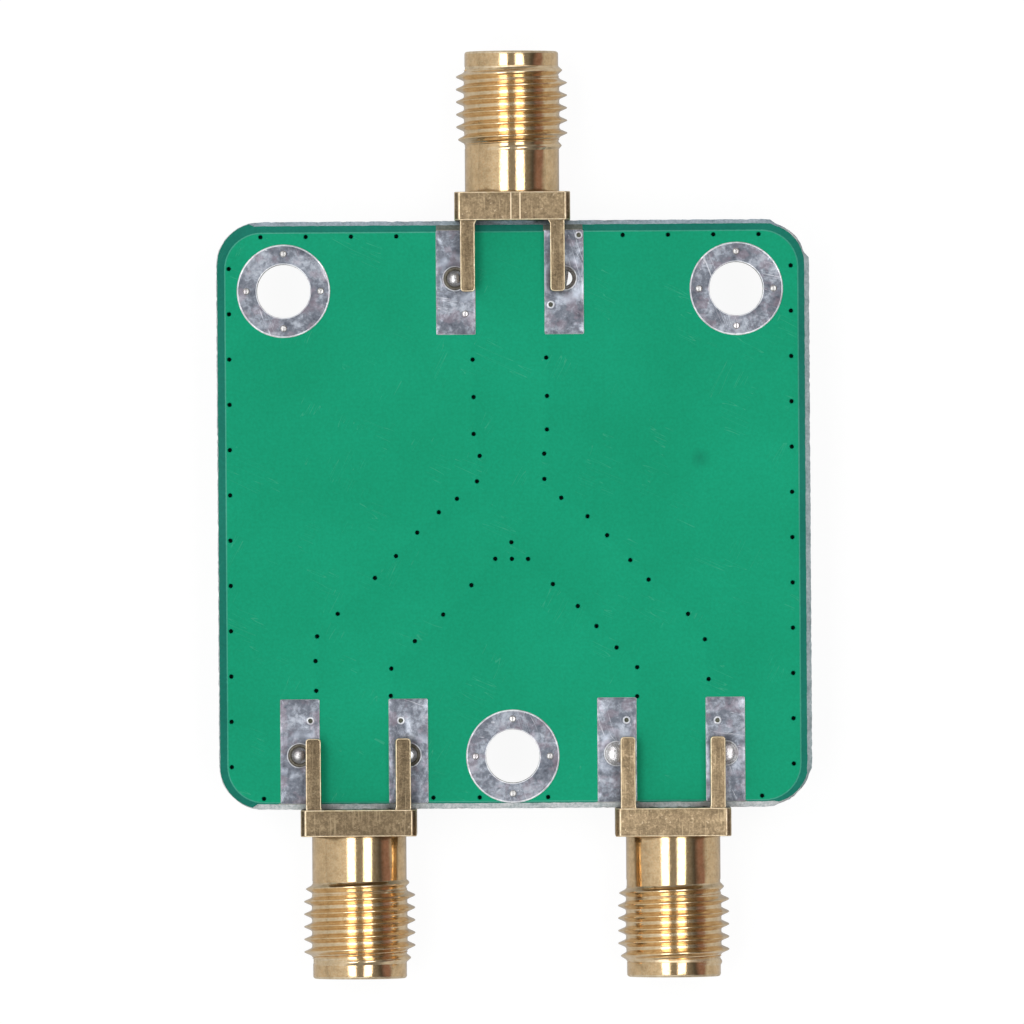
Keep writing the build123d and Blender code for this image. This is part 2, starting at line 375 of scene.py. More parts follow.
# %% [markdown]
# ## Cut laminate
# The board was one of many in a panel. A scoring wheel cut grooves along its sides and it was snapped off, so
# its edges are rough glass fibre, pale grey and slightly hairy. The cut face needs a coarse, streaky pattern
# with strong relief and hardly any gloss. The top and the right edge lie in a bluer shade.

# %% Laminate
SHADED_FROM = 16.0              # the edges lie further out than this
EDGE_SHADES = {"Y": (0.60, 0.69, 0.77, 1.0), "X": (0.66, 0.75, 0.76, 1.0)}


def laminate_finish(name, dark, middle, pale):
    finish, principled, where = start_finish(name, Roughness=0.9, Specular_IOR_Level=0.15)
    fibres = cloud(finish, stretched(finish, where, 6.0, 6.0, 2.0), 1.0, 5.0, 0.7)
    mottle = blend(finish, fibres, 0.65, cloud(finish, where, 1.1, 3.0))
    colour = ramp(finish, mottle, [(0.36, dark), (0.5, middle), (0.64, pale)])
    along = axes(finish, where)
    for axis, shade in EDGE_SHADES.items():
        far = sums(finish, "GREATER_THAN", along[axis], SHADED_FROM)
        colour = mix(finish, 1.0, colour, mix(finish, far, grey(1.0), shade), "MULTIPLY")
    feed(finish, principled, "Base Color", colour)
    relief(finish, principled, fibres, 0.05)
    return finish


cut_laminate = laminate_finish("cut_laminate", tint(170, 186, 188), tint(214, 221, 223), tint(244, 245, 247))
bare_laminate = laminate_finish("bare_laminate", tint(104, 104, 92), tint(128, 126, 112), tint(150, 146, 132))
print("laminates ready")

# %% [markdown]
# ## Tin and solder
# The lands were tinned by dipping and blowing off with hot air. The tin has frozen in soft clouds of grey and
# violet, with brighter runs and a few scratches. Near each anchor hole the molten solder left a pale sweep
# on the pad. Solder is the same metal but thicker and brighter. The rims, where the tin is drawn round and
# catches the light, get paler greys as a painted highlight. One function makes all three, with its greys as
# arguments.

# %% Tinned copper and solder
HALO_MIDDLES = [pad + Vector((0, copysign(0.2, pad.y), PAD_TOP)) for pad in PADS.values()]
HALO_R = 1.15


def halo(finish, where):
    """Pale, patchy rings on the pads, about a millimetre from each anchor hole."""
    rings = [peak(finish, distance(finish, where, spot), HALO_R, 2.6) for spot in HALO_MIDDLES]
    patches = greys(finish, cloud(finish, where, 0.9, 3.0, 0.6, 0.8), 0.42, 0.6)
    return times(finish, highest(finish, *rings, 0.0), patches)


def tin_finish(name, dark, middle, pale, roughness, metal):
    finish, principled, where = start_finish(name, Metallic=metal)
    large = cloud(finish, where, 0.75, 6.0, 0.62, 0.5)
    mottle = blend(finish, large, 0.55, cloud(finish, where, 3.4, 6.0, 0.68, 0.3))
    colour = ramp(finish, mottle, [(0.36, dark), (0.49, middle), (0.62, pale)])
    blush = greys(finish, cloud(finish, where, 1.6, 2.0), 0.5, 0.62, 0.0, 0.35)
    colour = mix(finish, blush, colour, tint(140, 122, 132))
    colour = mix(finish, times(finish, halo(finish, where), 0.5), colour, tint(192, 200, 214))
    marks = scratches(finish, where, (70, 1.7, 0.56), (12, 6.3, 0.6))
    colour = mix(finish, times(finish, marks, 0.6), colour, tint(225, 225, 232))
    feed(finish, principled, "Base Color", colour)
    feed(finish, principled, "Roughness", greys(finish, mottle, 0.36, 0.62, roughness + 0.16, roughness))
    relief(finish, principled, mottle, 0.03)
    return finish


tinned = tin_finish("tinned_land", tint(70, 74, 84), tint(109, 114, 124), tint(168, 174, 184), 0.32, 0.7)
# painted highlight: the rims' tin is given paler greys, for the light that they catch
rim_tin_painted_highlight = tin_finish("rim_tin_painted_highlight", tint(172, 176, 182), tint(204, 207, 212), tint(238, 239, 242), 0.34, 0.5)
solder = tin_finish("solder", tint(146, 144, 142), tint(188, 187, 186), tint(224, 224, 226), 0.2, 0.8)
print("tin ready")

# %% [markdown]
# ## Gold plate
# The jacks are brass under a thin gold flash. The flange and the legs were milled and show a dull, pitted
# grain with straight tool lines. Their colour also carries painted shade: it is a dark gold for the dark
# studio that their faces mirror, darker on the legs and darker or paler for each jack. The barrel was turned,
# so it is bright, with fine rings round its axis. All three jacks point along Y, so noise that is squeezed
# along Y and stretched across it draws those rings.

# %% Milled gold
TOOL_CUTS = (-0.075, 0.44)      # X of two bright lines that the cutter left on the input's flange
CUT_HALF = 0.035                # half the width of such a line
CUTS_ABOVE = 6.4                # they lie on the flange's upper face


def milled_gold(name, flange_painted_shade, leg_painted_shade):
    """Pitted grain with soft stains, tool strokes and bright specks, under a painted shade that is darker on
    the legs and darker or paler for each jack.
    """
    finish, principled, where = start_finish(name, Metallic=1.0)
    pits = cloud(finish, where, 9.0, 5.0, 0.7)
    mottle = blend(finish, pits, 0.6, cloud(finish, where, 2.6, 4.0, 0.62))
    # painted shade: the base is a dark gold, for the dark studio that the upper faces mirror
    colour = ramp(finish, mottle, [(0.37, tint(112, 97, 76)), (0.5, tint(143, 124, 97)),
                                   (0.63, tint(180, 159, 127))])
    strokes = cloud(finish, stretched(finish, where, 9.0, 0.5, 0.5), 1.0, 3.0, 0.6)
    colour = mix(finish, greys(finish, strokes, 0.56, 0.68, 0.0, 0.5), colour, tint(206, 184, 148))
    specks = greys(finish, cloud(finish, where, 4.6, 1.0, 0.4), 0.69, 0.75, 0.0, 0.6)
    colour = mix(finish, specks, colour, tint(206, 186, 156))
    along = axes(finish, where)
    cuts = sums(finish, "ADD", *(sums(finish, "COMPARE", along["X"], x, CUT_HALF) for x in TOOL_CUTS))
    cuts = times(finish, cuts, sums(finish, "GREATER_THAN", along["Z"], CUTS_ABOVE))
    # painted shade: the legs and each jack's flange are darkened by a factor of their own
    on_flange = sums(finish, "GREATER_THAN", sums(finish, "ABSOLUTE", along["Y"]), BOARD_HIGH.y)
    shade = mix(finish, on_flange, grey(leg_painted_shade), grey(flange_painted_shade))
    colour = mix(finish, 1.0, colour, shade, "MULTIPLY")
    colour = mix(finish, times(finish, cuts, 0.8), colour, tint(232, 212, 180))
    feed(finish, principled, "Base Color", colour)
    feed(finish, principled, "Roughness", greys(finish, mottle, 0.3, 0.7, 0.44, 0.34))
    relief(finish, principled, sums(finish, "ADD", pits, times(finish, strokes, 0.6)), 0.008)
    return finish


# lit and shaded copies of one finish, one for each jack, with their painted shade
SHADED_MILLED = {
    "input": milled_gold("milled_input_shaded", 0.76, 0.54),
    "output_left": milled_gold("milled_output_left_shaded", 0.56, 0.46),
    "output_right": milled_gold("milled_output_right_shaded", 0.92, 0.75),
}
print("milled gold ready")


# %% Turned gold
def turned_gold(name, dull, bright, roughness, ring_depth):
    """Bright metal with soft spots, fine specks and the lathe's rings."""
    finish, principled, where = start_finish(name, Metallic=1.0)
    rings = cloud(finish, stretched(finish, where, 0.35, 26.0, 0.35), 1.0, 3.0, 0.6)
    spots = cloud(finish, where, 2.4, 4.0, 0.6)
    specks = cloud(finish, where, 9.0, 3.0, 0.7)
    colour = ramp(finish, spots, [(0.36, dull), (0.6, bright)])
    colour = mix(finish, 0.5, colour, greys(finish, specks, 0.36, 0.64, 0.25, 0.75), "SOFT_LIGHT")
    feed(finish, principled, "Base Color", colour)
    feed(finish, principled, "Roughness", greys(finish, spots, 0.35, 0.65, roughness + 0.08, roughness))
    relief(finish, principled, sums(finish, "ADD", rings, times(finish, spots, 0.8)), ring_depth)
    return finish


turned = turned_gold("turned_gold", tint(216, 186, 142), tint(238, 206, 160), 0.07, 0.002)
threaded = turned_gold("threaded_gold", tint(226, 199, 158), tint(242, 217, 178), 0.13, 0.002)
contact_gold = turned_gold("contact_gold", tint(222, 190, 138), tint(242, 212, 160), 0.2, 0.003)
worn_edge = turned_gold("worn_edge", tint(214, 192, 158), tint(240, 222, 190), 0.4, 0.002)
print("turned gold ready")

# %% [markdown]
# ## Insulator, chips, caps and flux
# The jack's core is white fluoroplastic: soft, waxy and faintly translucent. The chip resistors are black
# glaze on ceramic, with plated ends. Dried flux is brown. These are small and mostly hidden, but each still
# has its own grain.

# %% The small finishes
def dull_finish(name, low, high, scale, **shader):
    finish, principled, where = start_finish(name, **shader)
    grain = cloud(finish, where, scale, 4.0, 0.6)
    feed(finish, principled, "Base Color", ramp(finish, grain, [(0.35, low), (0.65, high)]))
    relief(finish, principled, grain, 0.01)
    return finish


fluoroplastic = dull_finish("fluoroplastic", tint(232, 231, 224), tint(246, 246, 242), 3.0, Roughness=0.42,
                            Subsurface_Weight=0.15, Subsurface_Scale=0.0006)
chip_glaze = dull_finish("chip_glaze", tint(26, 26, 28), tint(44, 44, 48), 9.0, Roughness=0.35)
flux = dull_finish("flux", tint(92, 88, 76), tint(132, 126, 112), 6.0, Metallic=0.4, Roughness=0.4)
cap_plate = dull_finish("cap_plate", tint(170, 170, 174), tint(212, 212, 216), 6.0, Metallic=0.9,
                        Roughness=0.3)
print("small finishes ready")

# %% [markdown]
# ## Where the stitching holes are
# Nearly a hundred plated holes of 0.3 mm stitch the copper on the two faces together. They stand in a row
# along each edge, and in fences beside the three lines on the other face. A fabricator gets such places as a
# list, and so does this script, in millimetres from the middle of the artwork.

# %% Stitching holes
WELL_R = 0.15
EDGE_ROW = 15.76
fences = [
    (-2.11, 8.80), (-2.07, 6.70), (-2.08, 4.63), (-1.75, 3.40), (-1.91, 1.97),
    (2.02, 8.89), (2.05, 6.74), (2.03, 4.86), (1.87, 3.50), (1.87, 2.08),
    (-3.04, 1.00), (-4.06, 0.25), (-5.28, -0.88), (-6.48, -2.19), (-7.67, -3.41), (-9.77, -5.41),
    (-10.93, -6.67), (-11.03, -8.05), (-11.00, -9.72),
    (2.81, 1.02), (4.28, -0.03), (5.37, -1.10), (6.66, -2.50), (7.68, -3.60), (9.88, -5.54),
    (10.82, -6.97), (11.01, -9.20),
    (0.00, -1.46), (-0.91, -2.38), (0.02, -2.39), (0.93, -2.40),
    (-2.26, -3.85), (-3.85, -5.49), (-5.45, -6.97), (-6.78, -8.50), (-6.82, -10.03),
    (2.31, -3.82), (3.70, -5.06), (4.74, -6.19), (5.86, -7.40), (7.01, -8.51), (7.00, -10.14),
]
columns = [(side * EDGE_ROW, row * 1.27) for side in (-1, 1) for row in range(-11, 12, 2)]
top_row = [(side * x, EDGE_ROW - 0.02) for side in (-1, 1) for x in (6.35, 8.89, 11.43, 13.97)]
bottom_row = [(x, -EDGE_ROW) for x in (-13.97, -4.47, -1.87, 1.97, 13.97)]
on_pads = [(2.29, 11.86), (3.88, 15.75), (-11.34, -11.41), (-6.27, -11.42), (6.39, -11.47), (11.49, -11.51)]
stitches = [Vector((x, y, 0)) + ART for x, y in fences + columns + top_row + bottom_row]
pad_stitches = [Vector((x, y, 0)) + ART for x, y in on_pads]
filled_stitch = Vector((-2.51, 11.37, 0)) + ART     # the one on a pad that has filled with solder
print(len(stitches), "holes in the mask and", len(pad_stitches), "in the pads")

# %% [markdown]
# ## The board
# The board is one closed mesh. It starts as a single face with rounded corners. Two insets give the edge of
# the copper, which stands 0.035 mm above the laminate, and the copper's face is filled again round the
# outlines of its holes. The side wall is extruded down from the outline in steps. Along the straight sides
# the score cut slopes in from a rough web at half height, and the web ends abruptly where the routed corners
# begin. The board was cut a little askew, so each side and corner has a depth of its own.

# %% Board values
CORNER_R = 2.5
FOOT = 0.40                 # from the outline in to the foot of the copper's edge
STEP = 0.07
STEP_H = 0.035
COPPER_HALF = Vector((16.105, 16.01, 0))
COPPER_MIDDLE = Vector((-0.075, -0.117, 0))
MOUNT_R = 1.5
ANCHOR_R = 0.70
ANCHOR_OUT = 0.03           # from a pad's middle out to its anchor hole, and towards the jack
ANCHOR_AHEAD = 0.225
SCORE = {"top": 0.25, "right": 0.29, "bottom": 0.32, "left": 0.07}
CORNER_CUT = {(1, 1): (0.21, 0.05), (1, -1): (0.12, 0.05), (-1, 1): (0.01, 0.02), (-1, -1): (0.02, 0.02)}
WEB_TOP, WEB_LOW = 4.85, 4.15
FIBRE = 0.035               # usual depth of the web's broken fibres
FRONT_SHEET = 3.82          # the front's mask is a thin piece of its own, from here down
ON_SIDE = 0.05              # a vertex of the outline, or of a corner's first 10 degrees, is no further in
INNER_X, INNER_Y = BOARD_HIGH.x - CORNER_R, BOARD_HIGH.y - CORNER_R
anchors = {}
for (port, side), pad in PADS.items():
    anchors[port, side] = pad + Vector((ANCHOR_OUT * SIDES[side], ANCHOR_AHEAD * PORTS[port][1], 0))
print("anchor holes at", [(round(p.x, 2), round(p.y, 2)) for p in anchors.values()])


# %% Helpers for rims
def rim_circle(bm, middle, radius, z, segments):
    """A ring of edges, with no face."""
    ring = bmesh.ops.create_circle(bm, cap_ends=False, segments=segments, radius=radius, matrix=at(middle, z))
    return list({edge for vert in ring["verts"] for edge in vert.link_edges})


def extrude_ring(bm, edges, drop, grow=1.0, middle=None):
    """Extrudes a ring of edges down, and scales the new ring about a spot of the board's face."""
    made = bmesh.ops.extrude_edge_only(bm, edges=edges)
    verts = new_verts(made)
    bmesh.ops.translate(bm, vec=(0, 0, -drop), verts=verts)
    if middle is not None:
        about = Matrix.Translation((-middle.x, -middle.y, -FACE))
        bmesh.ops.scale(bm, vec=(grow, grow, 1), space=about, verts=verts)
    return [item for item in made["geom"] if isinstance(item, bmesh.types.BMEdge)]


print("rim helpers ready")


# %% Helpers for the outline
def from_corner_centre(co):
    """Flat vector from the centre of the nearest rounded corner."""
    return Vector((co.x - copysign(INNER_X, co.x), co.y - copysign(INNER_Y, co.y)))


def is_scored(co):
    """True along the straight sides and for the first 10 degrees of a corner, where the web still stands."""
    if abs(co.x) <= INNER_X or abs(co.y) <= INNER_Y:
        return True
    away = from_corner_centre(co)
    return not 10 < degrees(atan2(abs(away.y), abs(away.x))) < 80


def side_of(co):
    if abs(co.y) > BOARD_HIGH.y - ON_SIDE:
        return "top" if co.y > 0 else "bottom"
    return "right" if co.x > 0 else "left"


def pull_in(vert, depth):
    """Moves a vertex of the outline in from its own side."""
    side = side_of(vert.co)
    if side in ("top", "bottom"):
        vert.co.y -= depth if side == "top" else -depth
    else:
        vert.co.x -= depth if side == "right" else -depth


def inset(bm, face, width, index):
    """Insets a face, and gives the band that this leaves round it one of the piece's finishes."""
    band = bmesh.ops.inset_region(bm, faces=[face], use_boundary=True, use_even_offset=True, thickness=width)
    paint(band["faces"], index)
    return band["faces"]


def cut_corner(vert, spread):
    """Moves a vertex of a corner in as deep as the router cut, and by a part of the raggedness it left."""
    depth, ragged = CORNER_CUT[1 if vert.co.x > 0 else -1, 1 if vert.co.y > 0 else -1]
    vert.co.xy -= from_corner_centre(vert.co).normalized() * (depth + ragged * spread)


print("outline helpers ready")

# %% The board's outline and the copper's edge
ON_COPPER, ON_LAMINATE, STEP_HIGHLIGHT, SHADED_WELL, CUT, BARE = range(6)
BOARD_FINISHES = [mask_on_copper, mask_on_laminate, mask_step_painted_highlight, mask_well_painted_shade, cut_laminate, bare_laminate]
SIDE_CUTS = 139             # each straight side is cut this often, for its fibres
bm = bmesh.new()
bmesh.ops.create_grid(bm, x_segments=1, y_segments=1, size=1)
bmesh.ops.scale(bm, vec=(BOARD_HIGH.x, BOARD_HIGH.y, 1), verts=bm.verts)
bmesh.ops.bevel(bm, geom=bm.verts[:], affect="VERTICES", offset=CORNER_R, segments=12, profile=0.5,
                material=-1)
bmesh.ops.subdivide_edges(bm, edges=[e for e in bm.edges if e.calc_length() > 5], cuts=SIDE_CUTS)
bmesh.ops.translate(bm, vec=(0, 0, FACE - STEP_H), verts=bm.verts)
middle_face = bm.faces[:][0]

band = inset(bm, middle_face, FOOT, ON_LAMINATE)
shrink = Vector((COPPER_HALF.x / (BOARD_HIGH.x - FOOT), COPPER_HALF.y / (BOARD_HIGH.y - FOOT), 1))
bmesh.ops.scale(bm, vec=shrink, verts=middle_face.verts)
bmesh.ops.translate(bm, vec=COPPER_MIDDLE, verts=middle_face.verts)
# the step round the copper gets the paler green of the painted highlight
slope = inset(bm, middle_face, STEP, STEP_HIGHLIGHT)
bmesh.ops.translate(bm, vec=(0, 0, STEP_H), verts=middle_face.verts)
copper_edge = middle_face.edges[:]
outline = [edge for edge in bm.edges if edge.is_boundary]
for vert in {vert for edge in outline for vert in edge.verts}:
    if abs(abs(vert.co.y) - BOARD_HIGH.y) < 1e-4:
        vert.co.x = vert.co.x * shrink.x + COPPER_MIDDLE.x    # so that the band's short edges stay square
bmesh.ops.delete(bm, geom=[middle_face], context="FACES_ONLY")
print("bands:", len(band), "and", len(slope), "faces")

# %% The copper's face, filled round its holes
WELL_SIDES, MOUNT_SIDES, ANCHOR_SIDES = 14, 96, 40
COLLAR_H, LIP_DROP = 0.006, 0.03    # round a well the mask swells, and dips over the rim
WELL_DEPTH, PAD_WELL_DEPTH = 0.5, 0.16
mask_wells = [(spot, rim_circle(bm, spot, 1.15 * WELL_R, FACE, WELL_SIDES)) for spot in stitches]
tin_wells = [rim_circle(bm, spot, 1.02 * WELL_R, FACE, WELL_SIDES) for spot in pad_stitches]
through = [rim_circle(bm, spot, MOUNT_R, FACE, MOUNT_SIDES) for spot in RINGS.values()]
through += [rim_circle(bm, spot, ANCHOR_R, FACE, ANCHOR_SIDES) for spot in anchors.values()]
rings = [edges for _, edges in mask_wells] + tin_wells + through
fill(bm, copper_edge + [edge for ring in rings for edge in ring])

# the walls and floors inside the wells get the dark green as painted shade
for spot, rim in mask_wells:
    collar = extrude_ring(bm, rim, -COLLAR_H, 0.88, spot)
    lip = extrude_ring(bm, collar, LIP_DROP, 0.8, spot)
    well_floor = extrude_ring(bm, lip, WELL_DEPTH, 0.9, spot)
    paint(bmesh.ops.edgeloop_fill(bm, edges=well_floor)["faces"], SHADED_WELL)
# walls near the face that still have the copper's green take the same painted shade
for face in bm.faces:
    is_wall = abs(face.normal.z) < 0.5 and face.calc_center_median().z > FACE - 0.6
    if is_wall and face.material_index == ON_COPPER:
        face.material_index = SHADED_WELL
for rim in tin_wells:
    well_floor = extrude_ring(bm, rim, PAD_WELL_DEPTH)
    paint(bmesh.ops.edgeloop_fill(bm, edges=well_floor)["faces"], BARE)
print("faces so far:", len(bm.faces))

# %% The side wall and its score cut
rough = random.Random(7)
half_web = (WEB_TOP - WEB_LOW) / 2
levels = [outline]
for drop in (FACE - STEP_H - WEB_TOP, half_web, half_web, WEB_LOW - FRONT_SHEET):
    levels.append(extrude_ring(bm, levels[-1], drop))
for level in levels[1:]:
    paint(faces_at(level), CUT)
for level in levels:
    is_web = level is not levels[0] and level is not levels[-1]
    verts = {vert for edge in level for vert in edge.verts}
    for vert in sorted(verts, key=lambda vert: atan2(vert.co.y, vert.co.x)):    # the same order in each run
        if not is_scored(vert.co):
            cut_corner(vert, rough.uniform(-1, 1) if is_web else 2)
        elif is_web:
            pull_in(vert, abs(rough.gauss(0, FIBRE)))
        else:
            pull_in(vert, SCORE[side_of(vert.co)] + rough.uniform(-0.01, 0.01))
print("side wall:", len(levels) - 1, "rows of faces")

# %% The holes' walls, the underside and the windows in the mask
holes_below = []
for rim in through:
    lower = extrude_ring(bm, rim, FACE - FRONT_SHEET)
    paint(faces_at(lower), BARE)
    holes_below += lower
fill(bm, levels[-1] + holes_below, normal=(0, 0, -1))

WINDOW_HALF = 1.15          # beside the pads, at the board's edge, the mask has a window
WINDOW_FROM = 15.9
for face in bm.faces:
    middle = face.calc_center_median()
    beside_pad = any(pad.y * middle.y > 0 and abs(middle.x - pad.x) < WINDOW_HALF for pad in PADS.values())
    if face.material_index == ON_LAMINATE and abs(middle.y) > WINDOW_FROM and beside_pad:
        face.material_index = BARE
settle(bm, "board_core", BOARD_FINISHES, "circuit_board", sharp=25)

# %% [markdown]
# ## The front's mask
# The other face carries the lines, each with a bare groove on both sides. The CAD board already has those
# grooves in its underside, so the thin front sheet is cut from a copy of its mesh: the copy is merged,
# everything above the sheet is bisected off, the outline is drawn in as far as the core's, and the cut is
# filled. The walls that were cut show laminate, not mask.

# %% The front sheet
bm = bmesh.new()
bm.from_mesh(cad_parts["circuit_board"].data)
bmesh.ops.scale(bm, vec=(1 / MM,) * 3, verts=bm.verts)
bmesh.ops.remove_doubles(bm, verts=bm.verts, dist=0.0005)
bmesh.ops.bisect_plane(bm, geom=bm.verts[:] + bm.edges[:] + bm.faces[:], dist=0.0001,
                       plane_co=(0, 0, FRONT_SHEET), plane_no=(0, 0, 1), clear_outer=True)
for vert in bm.verts:
    if not is_scored(vert.co) and from_corner_centre(vert.co).length > CORNER_R - ON_SIDE:
        cut_corner(vert, 2)
    elif abs(vert.co.x) > BOARD_HIGH.x - ON_SIDE or abs(vert.co.y) > BOARD_HIGH.y - ON_SIDE:
        pull_in(vert, SCORE[side_of(vert.co)])
fill(bm, [edge for edge in bm.edges if edge.is_boundary])
bm.normal_update()
for face in bm.faces:
    middle = face.calc_center_median()
    if abs(face.normal.z) < 0.5 and any(vert.co.z > FRONT_SHEET - 0.001 for vert in face.verts):
        near_edge = abs(middle.x) > BOARD_HIGH.x - 1 or abs(middle.y) > BOARD_HIGH.y - 1
        face.material_index = 1 if near_edge else 2
FRONT_FINISHES = [mask_on_copper, cut_laminate, bare_laminate]
settle(bm, "board_front", FRONT_FINISHES, "circuit_board", sharp=25)

# %% [markdown]
# ## Mounting rings
# Round each mounting hole lies a tinned ring, on both faces. Its edge is rounded by surface tension, so its
# section is a thin bar with soft corners, spun about the hole. Four stitching holes in it have filled with
# solder and stand up as small domes.

# %% Helpers for round pieces
DOME_R, DOME_H = 0.2, 0.06
DOME_SUNK = 0.004


def spun(bm, section, steps, matrix, closed=True):
    """Spins a line of points (radius, height) about Z and places it. It is closed, or ends on the axis."""
    before = set(bm.verts)
    verts = [bm.verts.new((radius, 0, height)) for radius, height in section]
    edges = [bm.edges.new(pair) for pair in zip(verts, verts[1:] + (verts[:1] if closed else []))]
    bmesh.ops.spin(bm, geom=verts + edges, cent=(0, 0, 0), axis=(0, 0, 1), angle=2 * pi, steps=steps,
                   use_merge=True)
    if not closed:
        bmesh.ops.remove_doubles(bm, verts=added(bm.verts, before), dist=1e-5)
    bmesh.ops.transform(bm, matrix=matrix, space=Matrix.Identity(4), verts=added(bm.verts, before))


def dome(bm, middle, z, up=1):
    """Low cap of a ball, closed by its own lower half inside the metal, in the piece's third finish."""
    shape = at(middle, z - up * DOME_SUNK) @ Matrix.Diagonal((1, 1, up * DOME_H / DOME_R, 1))
    made = bmesh.ops.create_uvsphere(bm, u_segments=20, v_segments=10, radius=DOME_R, matrix=shape)
    paint(faces_at(made["verts"]), 2)


print("round helpers ready")

# %% Rings and their domes
RING_SECTION = [(1.5, 0.0), (1.5, 0.034), (1.525, 0.046), (1.56, 0.05), (2.535, 0.05), (2.58, 0.046),
                (2.61, 0.034), (2.625, 0.0)]
RING_FLAT = (1.55, 2.54)    # between its rounded rims
DOMES_AT = 2.09             # from the hole's middle
UPSIDE_DOWN = Matrix.Diagonal((1, 1, -1, 1))
for name, spot in RINGS.items():
    bm = bmesh.new()
    spun(bm, RING_SECTION, 96, at(spot, FACE))
    spun(bm, RING_SECTION, 96, at(spot, UNDERSIDE) @ UPSIDE_DOWN)
    # the rounded rims get the paler tin as a painted highlight
    for face in bm.faces:
        from_hole = (face.calc_center_median() - spot).to_2d().length
        face.material_index = 0 if RING_FLAT[0] <= from_hole <= RING_FLAT[1] else 1
    for quarter in range(4):
        turn = radians(90 * quarter)
        place = spot + Vector((cos(turn), sin(turn), 0)) * DOMES_AT
        dome(bm, place, PAD_TOP)
        dome(bm, place, LINE_FACE, -1)
    settle(bm, "mounting_ring_tin_" + name, [tinned, rim_tin_painted_highlight, solder],
           "mounting_ring_" + name)

# %% [markdown]
# ## Ground pads
# A pad lies on each face under every leg, joined by a plated hole that takes up solder. The plate is filled
# between its outline and the rims of its holes and extruded to its thickness. The hole's plating is a spun
# tube with a rim that stands a little proud, and so does the rim of each open stitching hole. Those rims and
# the plate's eased edges catch the light, and their tin is painted paler as a highlight.

# %% The plate of a pad
PAD_W, PAD_L = 2.2, 5.85
PAD_CORNER = 0.08
PLATE_HOLE_R = 0.72


def pad_plate(bm, middle, hole, wells_here, z, outer_z):
    """Flat plate with its holes, from the board's face to its own outer face. Returns that face's edges."""
    before = set(bm.edges)
    shape = at(middle, z) @ Matrix.Diagonal((PAD_W / 2, PAD_L / 2, 1, 1))
    made = bmesh.ops.create_grid(bm, x_segments=1, y_segments=1, size=1, matrix=shape)
    bmesh.ops.bevel(bm, geom=made["verts"], affect="VERTICES", offset=PAD_CORNER, segments=3, profile=0.5,
                    material=-1)
    plate = [face for face in bm.faces if set(face.edges).isdisjoint(before)]
    bmesh.ops.delete(bm, geom=plate, context="FACES_ONLY")
    rim_circle(bm, hole, PLATE_HOLE_R, z, ANCHOR_SIDES)
    for well in wells_here:
        rim_circle(bm, well, WELL_R, z, WELL_SIDES)
    filled = fill(bm, added(bm.edges, before))
    faces = [item for item in filled["geom"] if isinstance(item, bmesh.types.BMFace)]
    raised = bmesh.ops.extrude_face_region(bm, geom=faces)
    bmesh.ops.translate(bm, vec=(0, 0, outer_z - z), verts=new_verts(raised))
    return [edge for edge in added(bm.edges, before) if edge.calc_face_angle(0) > 1
            and all(abs(vert.co.z - outer_z) < 1e-4 for vert in edge.verts)]


print("plate helper ready")

# %% Pads and plated anchor holes
TUBE_SECTION = [(0.65, -1.56), (0.65, 0.03), (0.655, 0.048), (0.68, 0.056), (0.705, 0.048), (0.72, 0.02),
                (0.70, -0.02), (0.70, -1.50), (0.75, -1.54), (0.735, -1.60), (0.67, -1.61)]
WELL_RIM = [(0.13, 0.0), (0.13, 0.062), (0.155, 0.072), (0.20, 0.066), (0.23, 0.045), (0.23, 0.0)]
# near the tube the plate's eased edges go without the painted highlight
TUBE_REACH = 0.85           # round the tube the plate isn't bright, because the tube has a rim of its own
for (port, side), middle in PADS.items():
    bm = bmesh.new()
    hole = anchors[port, side]
    inside = [well for well in pad_stitches
              if abs(well.x - middle.x) < PAD_W / 2 and abs(well.y - middle.y) < PAD_L / 2]
    for z, outer_z, width in ((FACE, PAD_TOP, 0.05), (UNDERSIDE, LINE_FACE, 0.04)):
        ease(bm, pad_plate(bm, middle, hole, inside, z, outer_z), width)
    for face in bm.faces:
        if (face.calc_center_median() - hole).to_2d().length < TUBE_REACH:
            face.material_index = 0
    plates = set(bm.faces)
    spun(bm, TUBE_SECTION, 48, at(hole, FACE))
    for well in inside:
        spun(bm, WELL_RIM, 24, at(well, FACE))
    # the tube's rim and the wells' rims get the paler tin as a painted highlight
    paint(added(bm.faces, plates), 1)
    if (port, side) == ("input", "left"):
        dome(bm, filled_stitch, PAD_TOP)
    settle(bm, "pad_tin_" + port + "_" + side, [tinned, rim_tin_painted_highlight, solder],
           "ground_pad_" + port + "_" + side)

# %% [markdown]
# ## Solder in the anchor holes
# Solder was fed from the front. It buried most of each front leg and ran up the hole beside it, where it
# froze as a bright drop. Most drops lie below the rim, with brown flux in the moat round them, and the right
# output's have filled their holes. The drop and the column under it are spun from one line. The mound is
# half a ball, stretched along the leg, with its rim drawn out flat where the solder wetted the pad. One hole
# never closed, and light shows through it.

# %% Lines of the anchor solder
PLUG = [(0.0, -1.58), (0.648, -1.58), (0.648, -0.28), (0.61, -0.33), (0.53, -0.34), (0.45, -0.28),
        (0.36, -0.19), (0.24, -0.13), (0.10, -0.10), (0.0, -0.095)]
FULL_PLUG = [(0.0, -1.58), (0.648, -1.58), (0.648, -0.11), (0.625, -0.14), (0.58, -0.13), (0.50, -0.09),
             (0.38, -0.04), (0.20, -0.008), (0.0, 0.0)]
VENT = [(0.648, -1.58), (0.648, -0.05), (0.61, -0.08), (0.53, -0.10), (0.47, -0.14), (0.44, -0.25),
        (0.44, -1.5), (0.47, -1.58)]
FLUX_FROM = 0.46            # from the hole's middle, in the top half millimetre


